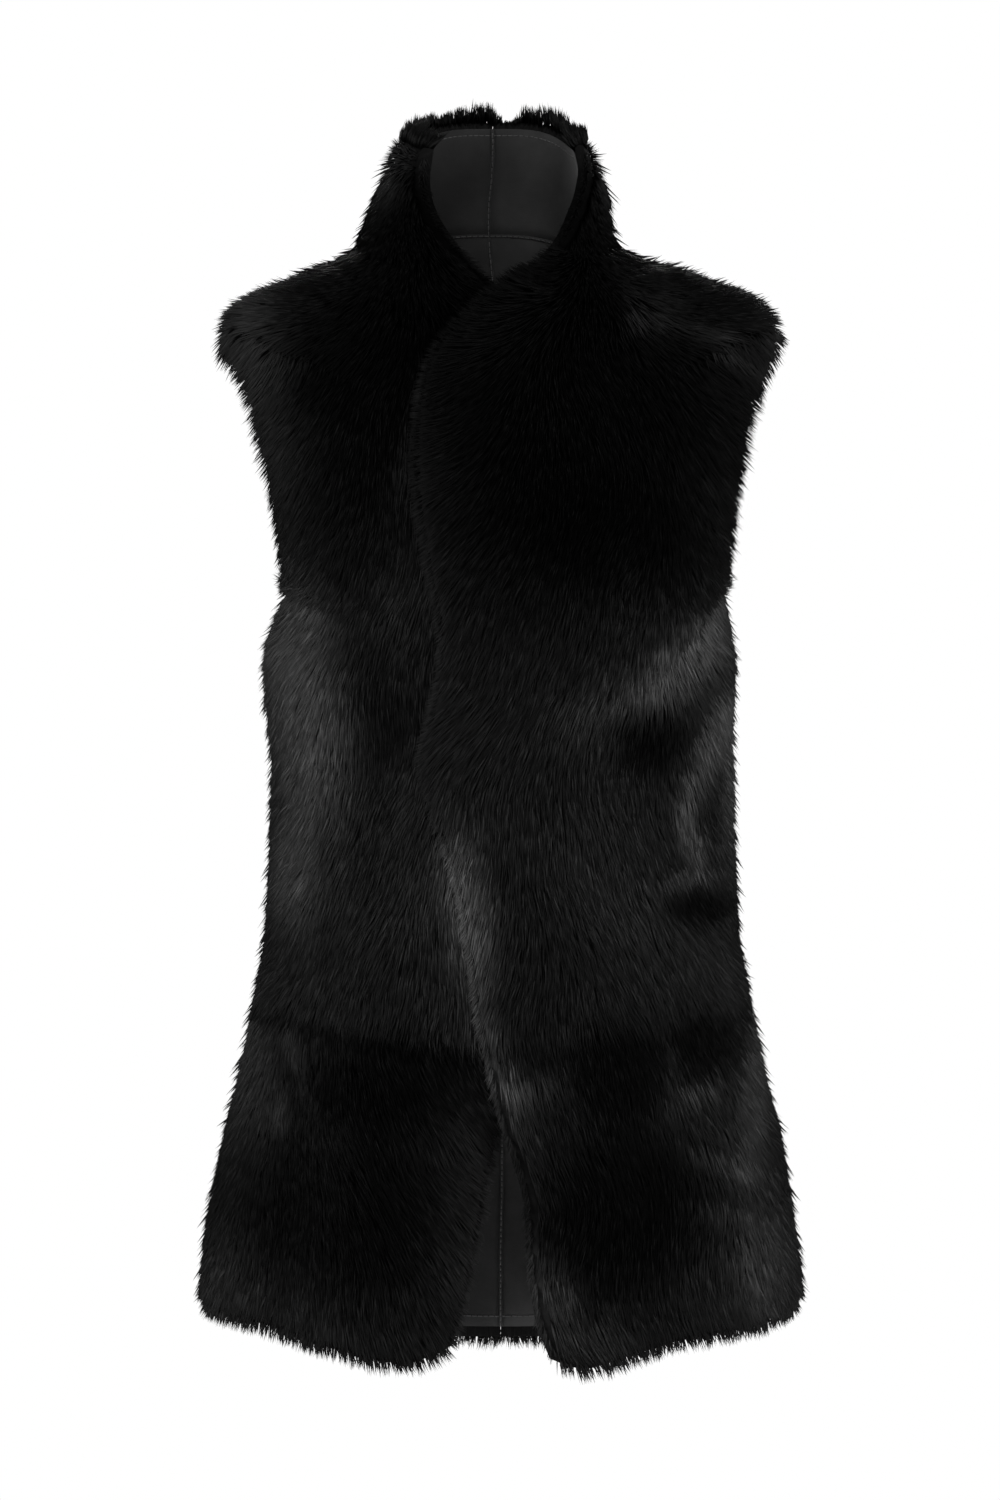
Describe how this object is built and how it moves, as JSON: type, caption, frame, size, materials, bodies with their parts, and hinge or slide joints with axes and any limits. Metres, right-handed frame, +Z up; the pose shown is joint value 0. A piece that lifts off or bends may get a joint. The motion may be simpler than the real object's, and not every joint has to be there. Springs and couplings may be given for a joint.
{
  "type": "sheepskin gilet",
  "caption": "Long sleeveless sheepskin gilet, wool outside and skin side in, with a standing collar, lapped fronts and open armholes, shaped as when worn.",
  "frame": {"origin": "between the wearer's shoulders, where the two shoulder seams meet the neck seam", "axes": "+Z up along the body, the front faces -Y, +X towards the wearer's left"},
  "size_m": [0.4476, 0.3184, 0.9368],
  "materials": {
    "black_wool": "long glossy black sheep's wool, brushed down and outwards",
    "black_suede": "matt black skin side, a fine suede",
    "black_thread": "black sewing thread"
  },
  "bodies": {
    "root": {"front_left_upper": "black_wool", "front_left_skirt": "black_wool", "front_right_upper": "black_wool", "front_right_skirt": "black_wool", "back_left": "black_wool", "back_right": "black_wool", "collar_left": "black_wool", "collar_right": "black_wool"}
  },
  "joints": []
}
